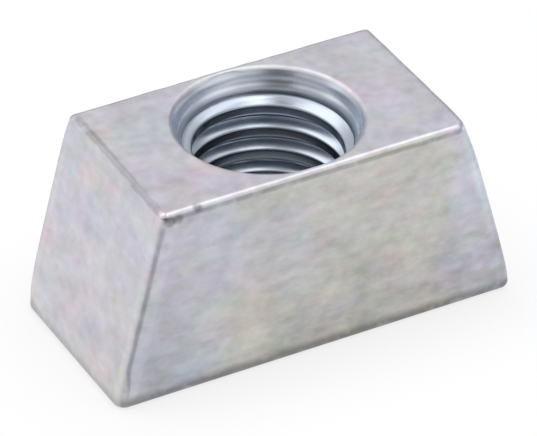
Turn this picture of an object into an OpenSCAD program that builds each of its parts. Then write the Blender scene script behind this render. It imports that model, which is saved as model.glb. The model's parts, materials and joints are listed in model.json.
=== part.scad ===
// Wedge nut that hangs a threaded rod from a dovetail slot.
// A short piece of dovetail bar, sawn off, drilled, countersunk and tapped through its height, then tumbled.
// The rod screws in from the narrow face, and its pull draws both sloping flanks tight in the slot.
// Origin in the middle of the wide base, +X along the base, +Y across the sawn faces, +Z along the thread.

/* [Bar] */
// Length of the wide base between its sharp corners
base_length = 25.5; // [22:0.1:40]
// Height from the wide base to the narrow face
bar_height = 12.15; // [8:0.05:14]
// Slope of each flank from the upright, in degrees
flank_angle = 14.6; // [6:0.1:18]
// Radius along the bar's own four edges
bar_edge_radius = 0.4; // [0.2:0.05:0.8]

/* [Saw cut] */
// Width of the nut, from one sawn face to the other
nut_width = 11.8; // [11.8:0.1:24]
// Radius tumbled onto the edges of the sawn faces
cut_edge_radius = 0.35; // [0.2:0.05:0.4]

/* [Thread] */
// Nominal diameter of the thread
thread_diameter = 10; // [5:0.5:10]
// Pitch of the thread
thread_pitch = 1.5; // [0.5:0.25:1.75]
// How much wider the mouth of the countersink is than the thread
countersink_margin = 0.9; // [0.1:0.05:0.9]
// Angle across the countersink, in degrees
countersink_angle = 80; // [60:5:120]

/* [Hidden] */
$fn = 64;
// Distance that a cutting shape runs on past the face that it opens
cut_past = 1;
// Flanks lean in from the base to the narrow face
top_length = base_length - 2 * bar_height * tan(flank_angle);
flank_run = bar_height / cos(flank_angle);
// Crests in a hole stand in from the nominal size by five eighths of the height of a sharp sixty degree thread
crest_radius = thread_diameter / 2 - 5 / 8 * thread_pitch * cos(30);
mouth_radius = (thread_diameter + countersink_margin) / 2;
countersink_slope = tan(countersink_angle / 2);
countersink_depth = (mouth_radius - crest_radius) / countersink_slope;

function unit(v) = v / norm(v);

// Convex outline with every corner rounded: cut off where its arc begins and ends, and filled by a circle
module rounded_outline(corners, radius) {
    count = len(corners);
    rounds = [
        for (i = [0 : count - 1])
            let (
                corner = corners[i],
                back = unit(corners[(i + count - 1) % count] - corner),
                ahead = unit(corners[(i + 1) % count] - corner),
                half_angle = acos(back * ahead) / 2,
                run = radius / tan(half_angle),
                centre = corner + radius / sin(half_angle) * unit(back + ahead)
            )
            [corner + run * back, corner + run * ahead, centre]
    ];
    polygon([for (r = rounds) each [r[0], r[1]]]);
    for (r = rounds)
        translate(r[2])
            circle(r = radius);
}

// Dovetail bar, standing on its wide base
module dovetail_bar() {
    section = [
        [-base_length / 2, 0],
        [base_length / 2, 0],
        [top_length / 2, bar_height],
        [-top_length / 2, bar_height]
    ];
    rotate([90, 0, 0])
        linear_extrude(nut_width, center = true)
            rounded_outline(section, bar_edge_radius);
}

// Rounding of the sawn faces where they meet the base and the narrow face
module level_edges() {
    side_view = [
        [-nut_width / 2, 0],
        [nut_width / 2, 0],
        [nut_width / 2, bar_height],
        [-nut_width / 2, bar_height]
    ];
    rotate([90, 0, 90])
        linear_extrude(base_length + 2 * cut_past, center = true)
            rounded_outline(side_view, cut_edge_radius);
}

// Rounding of the sawn faces where they meet one flank, reaching well past the other flank
module flank_edges() {
    reach = 2 * base_length;
    flank_view = [
        [-reach, -nut_width / 2],
        [0, -nut_width / 2],
        [0, nut_width / 2],
        [-reach, nut_width / 2]
    ];
    translate([base_length / 2, 0, 0])
        rotate([0, -flank_angle, 0])
            translate([0, 0, -base_length])
                linear_extrude(flank_run + 2 * base_length)
                    rounded_outline(flank_view, cut_edge_radius);
}

// Hole at the thread's crests, countersunk at both ends
module tapped_hole() {
    open_radius = mouth_radius + cut_past * countersink_slope;
    rotate_extrude()
        polygon([
            [0, -cut_past],
            [open_radius, -cut_past],
            [crest_radius, countersink_depth],
            [crest_radius, bar_height - countersink_depth],
            [open_radius, bar_height + cut_past],
            [0, bar_height + cut_past]
        ]);
}

// Zinc plated steel nut, one piece
module wedge_nut() {
    color("silver")
        difference() {
            intersection() {
                dovetail_bar();
                level_edges();
                flank_edges();
                mirror([1, 0, 0])
                    flank_edges();
            }
            tapped_hole();
        }
}

wedge_nut();
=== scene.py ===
import json
import math

import bpy
import numpy as np
from mathutils import Matrix, Vector


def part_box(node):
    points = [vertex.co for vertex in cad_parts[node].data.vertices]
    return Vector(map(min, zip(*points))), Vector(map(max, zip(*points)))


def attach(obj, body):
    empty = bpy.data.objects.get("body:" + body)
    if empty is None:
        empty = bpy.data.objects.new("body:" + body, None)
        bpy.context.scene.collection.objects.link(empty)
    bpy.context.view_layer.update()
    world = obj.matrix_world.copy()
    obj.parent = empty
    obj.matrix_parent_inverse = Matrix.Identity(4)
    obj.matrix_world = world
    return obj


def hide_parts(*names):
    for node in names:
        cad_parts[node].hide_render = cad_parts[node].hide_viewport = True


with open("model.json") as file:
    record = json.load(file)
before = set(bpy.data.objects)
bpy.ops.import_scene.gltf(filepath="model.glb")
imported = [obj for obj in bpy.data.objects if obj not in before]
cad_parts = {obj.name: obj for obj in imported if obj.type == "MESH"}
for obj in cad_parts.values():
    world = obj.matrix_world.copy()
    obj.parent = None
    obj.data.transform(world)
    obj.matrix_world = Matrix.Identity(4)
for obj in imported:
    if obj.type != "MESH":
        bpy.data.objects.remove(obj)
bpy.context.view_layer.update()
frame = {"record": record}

# Wedge nut: one piece of steel, sawn off a dovetail bar, drilled, countersunk and tapped through its height.
# It is tumbled, which rounds every edge, and bright zinc plated with a clear film that shows faint colours.
# It hangs a rod by its right-hand thread, so the narrow face with the hole is up.
MM = 0.001
mounts = {mount["name"]: mount for mount in frame["record"]["mounts"]}
nut_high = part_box("wedge_nut")[1]
height = nut_high.z
half_width = nut_high.y
flank = mounts["flank_right"]
flank_lean = flank["axis"][2] / flank["axis"][0]
half_base = flank["pos_m"][0] + flank["pos_m"][2] * flank_lean
half_top = half_base - height * flank_lean

# Rounded edges. A list has a value for each corner: right back, right front, left back, left front
top_round = 0.43 * MM
top_pinch = 0.06 * MM
pinch_reach = 2.5 * MM
base_round = 0.41 * MM
upright_round = np.array([0.45, 0.2, 0.2, 0.45]) * MM
upper_round = np.array([0.08, 0.8, 0.46, 0.08]) * MM
upper_reach = np.array([0.8, 1.8, 0.8, 0.8]) * MM
lower_round = np.array([0.4, 0.65, 1.0, 0.4]) * MM
lower_reach = 1.0 * MM
wear_share = 0.1
seeded = np.random.default_rng(7)
wear_waves = np.array([9, 14, 23, 31])
wear_phases = seeded.uniform(0, 2 * math.pi, len(wear_waves))

# The right front corner of the narrow face is knocked in
knocked_corner = np.array([half_top, -half_width, height])
knock_depth = 0.09 * MM
knock_reach = 1.2 * MM
knock_way = np.array([-0.83, 0.25, -0.5])

# Thread
crest_radius = mounts["thread"]["dims"]["r_mm"] * MM
nominal_radius = 5 * MM
pitch = 1.5 * MM
drill_radius = 4.29 * MM
root_radius = nominal_radius + 0.15 * MM
root_softness = 0.5 * MM
crest_softness = 0.06 * MM
crest_start = 0.93 * MM
crest_start_angle = math.radians(62)
tap_askew = 0.12 * MM

# Countersink, the same at both ends
countersink_depth = (height - mounts["thread"]["dims"]["length_mm"] * MM) / 2
countersink_half_angle = math.radians(40)
mouth_radius = crest_radius + countersink_depth * math.tan(countersink_half_angle)
rim_round = 0.32 * MM
rim_room_share = 0.85
rim_softness = 0.02 * MM
cone_slope = 0.43
ridge_height = 0.016 * MM
ridge_spacing = 0.78 * MM
first_ridge = 0.2 * MM
wall_radius = 4.86 * MM
wall_slope = 0.14
wall_end = 1.58 * MM
shelf_slope = 3
crease_softness = 0.03 * MM

# Grid: columns round the axis, rows of each stretch, and shares of a flat face's width where its rows lie
columns = 288
corner_spread = math.radians(5)
thread_rows = 236
rim_steps = 6
edge_steps = 11
side_rows = 15
near_border = np.array([0.004, 0.02, 0.06, 0.13, 0.22, 0.32, 0.42])
face_shares = np.concatenate([near_border, [0.5], 1 - near_border[::-1]])[:, None]


def blend_up(a, b, softness):
    """Larger of a and b with a rounded crease: their mean plus half a hyperbola of their difference."""
    return (a + b + np.sqrt((a - b) ** 2 + softness ** 2)) / 2


def blend_down(a, b, softness):
    """Smaller of a and b, with the crease rounded in the same way."""
    return (a + b - np.sqrt((a - b) ** 2 + softness ** 2)) / 2


def outline(angle, level, reach=0.0):
    """Level outline of the block with round corners, seen from the hole's axis.

    A column's angle picks its place: the tangent of the angle along a straight side, and within
    corner_spread of the corner's own direction the share of the quarter turn. The half length shrinks with
    level by the flank's lean. Each of the four corners has its own radius, which grows towards the narrow
    face and the base by an exponential. reach moves the point out along the outline's normal. Returns x, y
    and the tilt of the side there.
    """
    which = 2 * (np.cos(angle) < 0) + (np.sin(angle) < 0)
    quarter = np.arctan2(np.abs(np.sin(angle)), np.abs(np.cos(angle)))
    corner = math.atan2(half_width - top_round, half_top - top_round)
    first, last = corner - corner_spread, corner + corner_spread
    turn = np.clip((quarter - first) / (last - first), 0, 1) * math.pi / 2
    along_x = np.tan(math.pi / 2 - np.maximum(quarter, first)) / math.tan(math.pi / 2 - last)
    along_y = np.tan(np.minimum(quarter, last)) / math.tan(first)
    half_length = half_base - level * flank_lean
    round_off = upright_round[which] + lower_round[which] * np.exp(-level / lower_reach)
    round_off = round_off + upper_round[which] * np.exp((level - height) / upper_reach[which])
    x = (half_length - round_off) * np.minimum(1, along_x) + (round_off + reach) * np.cos(turn)
    y = (half_width - round_off) * np.minimum(1, along_y) + (round_off + reach) * np.sin(turn)
    tilt = np.arctan(np.cos(turn) * flank_lean)
    return np.sign(np.cos(angle)) * x, np.sign(np.sin(angle)) * y, tilt


def edge_rows(angle, radius, centre, shares, towards):
    """Rolled edge: a circle with its middle at the level centre touches the side and the flat face.

    A row's normal climbs from the side's tilt to straight up (towards 1) or down (towards -1) by its share.
    """
    tilt = outline(angle, centre)[2]
    lift = tilt + shares * (towards * math.pi / 2 - tilt)
    inset = radius * np.cos(lift) - radius / np.cos(tilt)
    x, y, _ = outline(angle, centre, inset)
    z = centre + radius * np.sin(lift)
    return np.stack(np.broadcast_arrays(x, y, z), -1)


def ring(angle, radius, level):
    """Points at a radius round the hole's axis, at a level."""
    x, y = radius * np.cos(angle), radius * np.sin(angle)
    return np.stack(np.broadcast_arrays(x, y, level), -1)


def between(start, end, shares):
    """Straight rows from one row of points to another."""
    return start + shares[:, :, None] * (end - start)


def thread_surface(angle, level):
    """Radius of the hole: a right-hand sixty degree thread, opened by a countersink at each end.

    The distance along the axis from the nearest crest gives the flank, which rises by the square root of
    three from the edge of a crest a quarter of a pitch wide, and stops at the drilled hole and near the
    nominal radius. The tap went in a little askew, which lifts a turn on one side by a sine of the angle.
    The countersink is a steep cone with two low ridges, which are a sine of the depth, then a short wall
    that is nearly upright, then a shelf that closes in on the thread.
    """
    from_start = angle - crest_start_angle
    lifted = level - crest_start + tap_askew * np.sin(from_start)
    turns = lifted / pitch - from_start / (2 * math.pi)
    from_crest = np.abs(turns - np.round(turns)) * pitch
    flank_radius = crest_radius + (from_crest - pitch / 8) * math.sqrt(3)
    cut = blend_down(flank_radius, root_radius, root_softness)
    cut = blend_up(cut, drill_radius, crest_softness)
    depth = np.minimum(level, height - level)
    ridges = ridge_height * np.sin(2 * math.pi * (depth - first_ridge) / ridge_spacing)
    cone = mouth_radius - depth * cone_slope - ridges
    wall = wall_radius + wall_slope * (wall_end - depth)
    mouth = blend_up(cone, wall, crease_softness) - shelf_slope * np.maximum(depth - wall_end, 0)
    return blend_up(mouth, cut, crease_softness)


def rim_rows(angle, border):
    """Rounded mouth of the countersink below a face at level nought: a circle touches face and cone.

    Its radius is rim_round, or less where the face's long border comes so near that a circle would overlap
    it. A row's normal turns from straight up to the cone's.
    """
    turn = math.pi / 2 - math.atan(cone_slope)
    room = np.abs(border[:, 1] / np.sin(angle[0])) - mouth_radius
    most = rim_room_share * room / math.tan(turn / 2)
    radius = blend_down(rim_round, most, rim_softness)[None, :]
    leaning = turn * np.linspace(0, 1, rim_steps)[:, None]
    mouth = mouth_radius + radius * (math.tan(turn / 2) - np.sin(leaning))
    return ring(angle, mouth, -radius * (1 - np.cos(leaning)))


def nut_grid():
    """Whole skin of the nut as one closed grid.

    Columns go round the hole's axis, and rows go out over the narrow face, down the sides, in under the
    base and back up the thread. The narrow face's edge is tighter beside the hole by a bell curve and worn
    by a few sines. The knocked corner is moved in by a bell curve of the distance from it.
    """
    angle = ((np.arange(columns) + 0.5) / columns * 2 * math.pi)[None, :]
    arc = np.linspace(0, 1, edge_steps)[:, None]
    along = half_width / np.tan(angle)
    worn = np.sin(np.outer(wear_waves, angle[0]) + wear_phases[:, None]).mean(0)[None, :]
    pinched = top_round - top_pinch * np.exp(-(along / pinch_reach) ** 2)
    top_radius = pinched * (1 + wear_share * worn)
    top_edge = edge_rows(angle, top_radius, height - top_radius, 1 - arc, 1)
    base_edge = edge_rows(angle, base_round, base_round, arc, -1)
    top_rim = rim_rows(angle, top_edge[0]) + np.array([0, 0, height])
    base_rim = rim_rows(angle, base_edge[-1]) * np.array([1, 1, -1])
    low, high = base_rim[-1, :, 2], top_rim[-1, :, 2]
    level = low + np.linspace(0, 1, thread_rows + 2)[1:-1, None] * (high - low)
    bore = ring(angle, thread_surface(angle, level), level)
    upright = np.linspace(0, 1, side_rows + 2)[1:-1, None]
    side_level = top_edge[-1, :, 2] + upright * (base_edge[0, :, 2] - top_edge[-1, :, 2])
    side = np.stack([*outline(angle, side_level)[:2], side_level], -1)
    skin = np.concatenate([
        top_rim[::-1],
        between(top_rim[0], top_edge[0], face_shares),
        top_edge,
        side,
        base_edge,
        between(base_edge[-1], base_rim[0], face_shares),
        base_rim,
        bore,
    ])
    share = np.exp(-((skin - knocked_corner) ** 2).sum(-1, keepdims=True) / knock_reach ** 2)
    return skin + knock_depth * share * knock_way


def closed_mesh(name, grid):
    """Mesh of a grid that joins up with itself both ways, with faces pointing out."""
    rows, across = grid.shape[:2]
    index = np.arange(rows * across).reshape(rows, across)
    down, side = np.roll(index, -1, 0), np.roll(index, -1, 1)
    quads = np.stack([index, down, np.roll(down, -1, 1), side], -1).reshape(-1, 4)
    mesh = bpy.data.meshes.new(name)
    mesh.vertices.add(index.size)
    mesh.vertices.foreach_set("co", grid.astype(np.float32).ravel())
    mesh.loops.add(quads.size)
    mesh.loops.foreach_set("vertex_index", quads.astype(np.int32).ravel())
    mesh.polygons.add(len(quads))
    mesh.polygons.foreach_set("loop_start", np.arange(0, quads.size, 4, dtype=np.int32))
    mesh.polygons.foreach_set("use_smooth", np.ones(len(quads), bool))
    mesh.update(calc_edges=True)
    mesh.validate()
    return mesh


nut_mesh = closed_mesh("zinc_nut", nut_grid())
nut = bpy.data.objects.new("zinc_nut", nut_mesh)
bpy.context.scene.collection.objects.link(nut)


class Shade:
    """One socket of a node tree. Arithmetic on it adds a Math node, and node adds one of any other kind."""

    def __init__(self, tree, socket):
        self.tree = tree
        self.socket = socket

    def node(self, kind, settings, inputs, output=0):
        """Adds a node, sets its settings, then fills its inputs with values or other sockets."""
        new = self.tree.nodes.new(kind)
        for name, value in settings.items():
            setattr(new, name, value)
        for name, value in inputs.items():
            if isinstance(value, Shade):
                self.tree.links.new(value.socket, new.inputs[name])
            else:
                new.inputs[name].default_value = value
        return Shade(self.tree, new.outputs[output])

    def output(self, name):
        """Another output of the same node."""
        return Shade(self.tree, self.socket.node.outputs[name])

    def feed(self, node, name):
        """Links this socket to an input of a node that is there already."""
        self.tree.links.new(self.socket, node.inputs[name])

    def math(self, operation, first, second):
        """Math node on two values, of which a one-sided operation takes the first."""
        return self.node("ShaderNodeMath", {"operation": operation}, {0: first, 1: second})

    def vector(self, operation, *others, output=0):
        """Vector Math node on this vector and the others."""
        inputs = dict(enumerate((self, *others)))
        return self.node("ShaderNodeVectorMath", {"operation": operation}, inputs, output)

    def __add__(self, other):
        return self.math("ADD", self, other)

    def __radd__(self, other):
        return self.math("ADD", other, self)

    def __sub__(self, other):
        return self.math("SUBTRACT", self, other)

    def __rsub__(self, other):
        return self.math("SUBTRACT", other, self)

    def __mul__(self, other):
        return self.math("MULTIPLY", self, other)

    def __rmul__(self, other):
        return self.math("MULTIPLY", other, self)

    def __abs__(self):
        return self.math("ABSOLUTE", self, 0)

    def least(self, other):
        """Smaller of two values."""
        return self.math("MINIMUM", self, other)

    def most(self, other):
        """Larger of two values."""
        return self.math("MAXIMUM", self, other)

    def step(self, start, end):
        """Smooth rise from nothing at start to one at end, which may lie below start."""
        inputs = {"Value": self, "From Min": min(start, end), "From Max": max(start, end)}
        inputs["To Min"], inputs["To Max"] = (0, 1) if start < end else (1, 0)
        return self.node("ShaderNodeMapRange", {"interpolation_type": "SMOOTHSTEP"}, inputs)

    def mix(self, first, second):
        """Colour between two colours, by this share."""
        return self.node("ShaderNodeMix", {"data_type": "RGBA"}, {0: self, 6: first, 7: second}, 2)

    def tone(self, colour):
        """A colour darkened or lightened by this factor."""
        return self.node("ShaderNodeVectorMath", {"operation": "SCALE"}, {0: colour, 3: self})


zinc = bpy.data.materials.new("zinc_plate")
zinc.use_nodes = True
zinc_tree = zinc.node_tree
zinc_shader = zinc_tree.nodes["Principled BSDF"]
place = Shade(zinc_tree, zinc_tree.nodes.new("ShaderNodeTexCoord").outputs["Object"])
to_mm = 1 / MM


def noise(spots_per_mm, detail, stretch=(1, 1, 1)):
    """Cloudy pattern with that many spots in a millimetre, stretched by scaling the place first."""
    inputs = {"Vector": place.vector("MULTIPLY", stretch), "Scale": spots_per_mm * to_mm, "Detail": detail}
    return place.node("ShaderNodeTexNoise", {}, inputs)


def spot(centre, inner, outer):
    """Round mark about a point, full within the inner radius and gone at the outer one, in millimetres."""
    away = place.vector("DISTANCE", tuple(axis * MM for axis in centre), output="Value")
    return (away * to_mm).step(outer, inner)


def line(gap, centre, reach):
    """Thin line where a distance is near the centre, in millimetres.

    It is gone at the reach on each side, and full within about a third of it.
    """
    full_share = 0.35
    return abs(gap - centre).step(reach, reach * full_share)


# Places, and distances in from the faces, all in millimetres
split = place.node("ShaderNodeSeparateXYZ", {}, {0: place})
x_mm, y_mm, z_mm = (split.output(axis) * to_mm for axis in "XYZ")
axis_gap = place.vector("MULTIPLY", (to_mm, to_mm, 0)).vector("LENGTH", output="Value")
lean_angle = math.atan(flank_lean)
sawn_gap = half_width * to_mm - abs(y_mm)
flank_gap = (half_base * to_mm - abs(x_mm)) * math.cos(lean_angle) - z_mm * math.sin(lean_angle)
top_gap = height * to_mm - z_mm
edge_gap = top_gap.least(flank_gap)
hole_depth = top_gap.least(z_mm)

# Share of each surface: sawn faces, flanks, hole, thread, and the left half of the nut
edge_fade = (0.3, 0.1)
sawn = sawn_gap.step(*edge_fade)
on_flank = flank_gap.step(*edge_fade)
mouth_mm = mouth_radius * to_mm
in_hole = axis_gap.step(mouth_mm, mouth_mm - 0.12)
shelf_mm = wall_end * to_mm
in_thread = in_hole * hole_depth.step(shelf_mm - 0.3, shelf_mm - 0.08)
left_side = x_mm.step(3, -3)

# Patterns, from large clouds to fine grain. The film has one pattern for each of red, green and blue
drawn_stretch = (0.8, 0.75, 1.1)
large = noise(0.16, 1)
cloud = noise(0.34, 2, drawn_stretch)
patch = noise(0.75, 2, (0.75, 0.75, 1.15))
streak = noise(0.4, 3, (1, 3, 5))
fine = noise(1.8, 3, (0.75, 0.8, 1.2))
film_inputs = {"Scale": 0.42 * to_mm, "Detail": 4, "Roughness": 0.75}
film_inputs["Vector"] = place.vector("MULTIPLY", drawn_stretch)
film = place.node("ShaderNodeTexNoise", {}, film_inputs, "Color")
film_strength = (0.38, 0.32, 0.38)
film_level = (0.81, 0.84, 0.81)

# Drawn sides: lavender with clouds of straw and pink, and warmer low at the front
lavender = (0.627, 0.622, 0.690, 1)
straw = (0.640, 0.628, 0.638, 1)
pink = (0.648, 0.609, 0.675, 1)
rose = (0.640, 0.616, 0.640, 1)
drawn_colour = cloud.step(0.5, 0.7).mix(lavender, straw)
drawn_colour = noise(0.22, 2).step(0.45, 0.65).mix(drawn_colour, pink)
drawn_colour = (z_mm + 0.6 * y_mm).step(8.5, 0).mix(drawn_colour, rose)

# Sawn faces: warm in the middle, blue towards both flanks, and palest along the right one
sawn_warm = (0.588, 0.575, 0.546, 1)
sawn_blue = (0.584, 0.586, 0.646, 1)
pale_blue = (0.62, 0.68, 0.74, 1)
left_blue = (x_mm - 0.5 * z_mm + (large - 0.5) * 16).step(-4, -11)
right_blue = (x_mm + 0.25 * z_mm + (large - 0.5) * 10).step(9, 12)
end_blue = flank_gap.step(0.8, 0.35) * x_mm.step(0, 3) * z_mm.step(3, 7)
sawn_colour = left_blue.most(right_blue).mix(sawn_warm, sawn_blue)
sawn_colour = end_blue.mix(sawn_colour, pale_blue)

# Hole: bluer steel without the film, darker in the thread
cone_steel = (0.685, 0.722, 0.80, 1)
thread_steel = (0.505, 0.56, 0.645, 1)

# Colour of the whole nut
colour = sawn.mix(drawn_colour, sawn_colour)
colour = colour.vector("MULTIPLY", film.vector("MULTIPLY_ADD", film_strength, film_level))
colour = in_hole.mix(colour, cone_steel)
colour = in_thread.mix(colour, thread_steel)

# Thin dark lines along the edges, most round the left flank and broken by a pattern, partly painted shade
waver = (noise(0.9, 2) - 0.5) * 0.3
off_sawn = sawn_gap.step(0.3, 0.9)
upright_bend = 0.26 * z_mm.step(2.8, 0.9)
upright_line = line(flank_gap + waver * 0.3 - upright_bend, 0.2, 0.14) * sawn_gap.step(0.3, 0.15)
upright_line = upright_line * top_gap.step(0.65, 1.05) * (0.1 + 0.38 * left_side)
top_line = line(flank_gap - top_gap - y_mm * 0.025 + waver, 0.12, 0.36) * edge_gap.step(0.35, 0.25)
top_line = top_line * (0.1 + 0.4 * left_side)
# Painted shade over the middle of the left top edge's rounding, dimming the light it mirrors
rolled_edge_painted_shade = 0.12 * line(edge_gap, 0.11, 0.1) * left_side * top_gap.step(0.4, 0.2)
# Painted shade on the lower half of the front top edge's rounding, under its highlight
front_edge_painted_shade = 0.55 * line(top_gap, 0.31, 0.2) * sawn_gap.step(0.2, 0.1)
# Painted shade along the base edge, where it mirrors the shaded floor beside the nut
base_painted_shade = z_mm.step(1.0, 0.42) * (0.4 + 0.6 * z_mm.step(0.05, 0.3)) * (0.42 + 0.36 * sawn)
dark_edge_lines = ((top_line + rolled_edge_painted_shade) * off_sawn).most(upright_line).most(base_painted_shade).most(front_edge_painted_shade)
dark_edge_lines = dark_edge_lines * (0.6 + 0.4 * noise(1.1, 3).step(0.35, 0.5))

# Three dark nicks at the left end of the front edge
nicks = spot((-7.45, -5.75, 12.05), 0.1, 0.4)
nicks = nicks + spot((-9.2, -5.9, 11.72), 0.2, 0.5)
nicks = nicks + spot((-8.7, -5.9, 11.75), 0.1, 0.45)
nicks = nicks * noise(1.5, 2).step(0.2, 0.55)

# Outside: clouded and streaked with specks, painted shade low on the sawn faces, painted highlights by edges
# Rubbed top edges of the sawn faces: smoother, and lighter as a painted highlight
rubbed_edge_and_highlight = top_gap.step(0.5, 0.3) * sawn_gap.step(0.5, 0.3)
# Painted highlight in a strip on each flank beside the upright edges
upright_painted_highlight = line(sawn_gap, 0.5, 0.35) * flank_gap.step(0.2, 0.05)
sawn_light = line(flank_gap, 0.7, 0.5) * sawn * left_side
# Painted shade, low on the sawn faces and stronger towards the right
low_shade = sawn * z_mm.step(9, 0) * (0.05 + 0.14 * x_mm.step(-8, 1))
specks = fine.step(0.66, 0.76)
outside = 1 + (patch - 0.5) * 0.4 + (cloud - 0.5) * (0.14 + 0.2 * sawn)
outside = outside + (streak - 0.5) * (0.08 + 0.12 * sawn) + (fine - 0.5) * (0.42 - 0.16 * on_flank)
outside = outside - 0.08 * specks - low_shade
outside = outside + 0.06 * upright_painted_highlight + 0.09 * sawn_light + 0.05 * rubbed_edge_and_highlight
outside = outside * (1 - 0.6 * dark_edge_lines) * (1 - 0.5 * nicks)

# Inside: turning marks on the countersink, and painted shade in the roots, on the crests and where the
# thread starts
turning_spacing = 0.29
turning_phase = hole_depth * (2 * math.pi / turning_spacing)
turning_marks = turning_phase.math("SINE", turning_phase, 0) * (1 - in_thread) * (0.05 + 0.1 * patch)
root_mm = nominal_radius * to_mm
# Painted shade in the roots of the thread, below the shelf
root_painted_shade = 0.5 * axis_gap.step(root_mm - 0.28, root_mm - 0.08)
root_painted_shade = root_painted_shade * hole_depth.step(shelf_mm + 0.12, shelf_mm + 0.52)
crest_mm = drill_radius * to_mm
third_turn = 2 * pitch * to_mm
# Painted shade on the crests, deeper from the third turn down
crest_painted_shade = 0.4 + 0.3 * hole_depth.step(third_turn, third_turn + 0.8)
crest_painted_shade = crest_painted_shade * axis_gap.step(crest_mm + 0.12, crest_mm + 0.04)
wall_mm = wall_radius * to_mm
far_wall = (0.57 * x_mm + 0.82 * y_mm).step(wall_mm - 0.46, wall_mm - 0.04)
# Painted shade in a ring where the thread starts, darkest on the far wall
thread_start_painted_shade = (0.05 + 0.38 * far_wall) * line(hole_depth, shelf_mm - 0.18, 0.24)
inside = 1 + turning_marks - in_thread * (root_painted_shade + crest_painted_shade) - thread_start_painted_shade
brightness = outside + in_hole * (inside - outside)
brightness.tone(colour).feed(zinc_shader, "Base Color")

# Gloss: smoother where it is rubbed and in the hole, except just above the thread
rough = 0.34 + 0.12 * patch + 0.05 * sawn - 0.14 * rubbed_edge_and_highlight
rough = rough - 0.12 * in_hole - 0.06 * in_thread
rough = rough + 0.2 * in_hole * line(hole_depth, shelf_mm - 0.23, 0.35)
rough.feed(zinc_shader, "Roughness")
wave_height = 0.012 * MM
wavy = {"Strength": 0.5, "Distance": wave_height, "Height": noise(1.1, 2)}
place.node("ShaderNodeBump", {}, wavy).feed(zinc_shader, "Normal")
zinc_shader.inputs["Metallic"].default_value = 1
nut_mesh.materials.append(zinc)
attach(nut, "root")
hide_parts("wedge_nut")

# Floor: a wide matt sheet of white card, which the nut stands on.
# It is lit from behind, a little less close to the nut, so that the shadow shows there.
floor_half = 1.2
shadow_reach = 8 * MM
least_glow = 0.72
card_white = (0.93, 0.93, 0.93, 1)
card_roughness = 0.9
glow_white = (1, 1, 1, 1)
corners = [(x * floor_half, y * floor_half, 0) for x, y in ((-1, -1), (1, -1), (1, 1), (-1, 1))]
floor_mesh = bpy.data.meshes.new("floor")
floor_mesh.from_pydata(corners, [], [(0, 1, 2, 3)])
floor = bpy.data.objects.new("floor", floor_mesh)
bpy.context.scene.collection.objects.link(floor)
card = bpy.data.materials.new("white_card")
card.use_nodes = True
card_tree = card.node_tree
card_shader = card_tree.nodes["Principled BSDF"]
card_shader.inputs["Base Color"].default_value = card_white
card_shader.inputs["Roughness"].default_value = card_roughness
card_place = Shade(card_tree, card_tree.nodes.new("ShaderNodeTexCoord").outputs["Object"])
seen = card_place.node("ShaderNodeLightPath", {}, {}, "Is Camera Ray")
seen_at_all = seen + seen.output("Is Glossy Ray") + seen.output("Is Transmission Ray")
beyond_nut = card_place.vector("ABSOLUTE").vector("SUBTRACT", (half_base, half_width, 0))
from_nut = beyond_nut.vector("MAXIMUM", (0, 0, 0)).vector("LENGTH", output="Value")
glow_share = seen_at_all * (least_glow + (1 - least_glow) * from_nut.step(0, shadow_reach))
glow = card_place.node("ShaderNodeEmission", {}, {"Color": glow_white, "Strength": 1})
lit = Shade(card_tree, card_shader.outputs[0])
both = card_place.node("ShaderNodeMixShader", {}, {0: glow_share, 1: lit, 2: glow})
both.feed(card_tree.nodes["Material Output"], "Surface")
floor_mesh.materials.append(card)

# Studio light: a white tent of cloth, paler above than near the floor, with soft boxes behind the cloth.
# Dark gaps between its panels give the bright steel in the hole its contrast.
# Azimuth 0 is in front of the sawn face, and a positive one is to the right.
tent_white = (1, 1, 1, 1)
horizon_level = 0.3
overhead_gain = 0.6
overhead_from = 0.6
# A row holds azimuth, elevation, inner and outer angle in degrees, then the share of light that is missing
dark_gaps = [
    (-40, 17, 10, 26, 0.85),
    (-85, 82.5, 5, 11, 0.85),
    (169, 69.5, 2, 7, 0.7),
    (108, 26, 8, 24, 0.35),
]
# A row holds the same four angles, then the strength of the light
soft_boxes = [
    (100, 60, 12, 22, 0.62),
    (60, 84, 6, 12, 2.0),
    (-138, 57, 16, 25, 0.9),
    (36, 12, 14, 32, 0.4),
    (-127, 12, 16, 34, 0.6),
    (10, 62, 9, 18, 0.8),
]
world = bpy.data.worlds.new("tent")
world.use_nodes = True
bpy.context.scene.world = world
tent_tree = world.node_tree
tent_shader = tent_tree.nodes["Background"]
sky = Shade(tent_tree, tent_tree.nodes.new("ShaderNodeTexCoord").outputs["Generated"])


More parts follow.
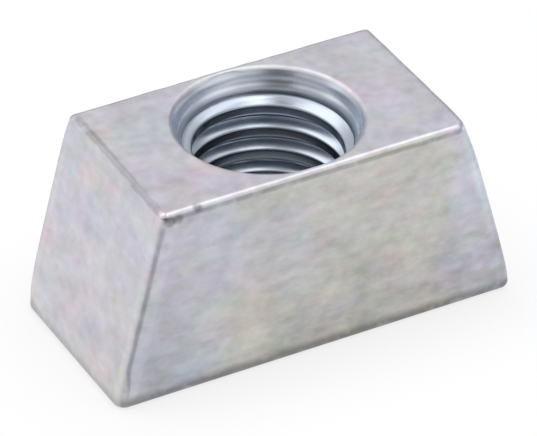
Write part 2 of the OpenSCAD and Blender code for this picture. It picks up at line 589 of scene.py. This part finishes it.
def tent_patch(azimuth, elevation, inner, outer):
    """Round patch of the tent, full within the inner angle and gone at the outer one, in degrees."""
    turn, climb = math.radians(azimuth), math.radians(elevation)
    aim = (math.sin(turn) * math.cos(climb), -math.cos(turn) * math.cos(climb), math.sin(climb))
    facing = sky.vector("DOT_PRODUCT", aim, output="Value")
    return facing.step(math.cos(math.radians(outer)), math.cos(math.radians(inner)))


upward = sky.node("ShaderNodeSeparateXYZ", {}, {0: sky}, "Z")
tent_level = horizon_level + overhead_gain * upward.step(0, overhead_from)
for *angles, missing in dark_gaps:
    tent_level = tent_level * (1 - missing * tent_patch(*angles))
for *angles, strength in soft_boxes:
    tent_level = tent_level + strength * tent_patch(*angles)
tent_level.feed(tent_shader, "Strength")
tent_shader.inputs["Color"].default_value = tent_white
bpy.context.scene.view_settings.view_transform = "Standard"

# Camera: a long lens on a stand, looking down on the nut's left front corner.
# Its focal length is in pixels of a picture that is picture_width wide.
camera_azimuth = math.radians(28.078)
camera_elevation = math.radians(34.447)
camera_roll = math.radians(-0.297)
camera_distance = 274.4 * MM
camera_rise = 0.5364 * MM
focal_pixels = 4852.6
picture_width = 537
sensor_width = 36
nearest = 0.01
farthest = 10
back = Vector((
    -math.sin(camera_azimuth) * math.cos(camera_elevation),
    -math.cos(camera_azimuth) * math.cos(camera_elevation),
    math.sin(camera_elevation),
))
level_right = Vector((math.cos(camera_azimuth), -math.sin(camera_azimuth), 0))
level_up = back.cross(level_right)
right = math.cos(camera_roll) * level_right + math.sin(camera_roll) * level_up
up = math.cos(camera_roll) * level_up - math.sin(camera_roll) * level_right
lens = bpy.data.cameras.new("camera")
lens.sensor_width = sensor_width
lens.lens = sensor_width * focal_pixels / picture_width
lens.clip_start = nearest
lens.clip_end = farthest
camera = bpy.data.objects.new("camera", lens)
camera_place = Vector((0, 0, height / 2)) + camera_distance * back - camera_rise * up
camera_turn = Matrix((right, up, back)).transposed().to_4x4()
camera.matrix_world = Matrix.Translation(camera_place) @ camera_turn
bpy.context.scene.collection.objects.link(camera)
bpy.context.scene.camera = camera
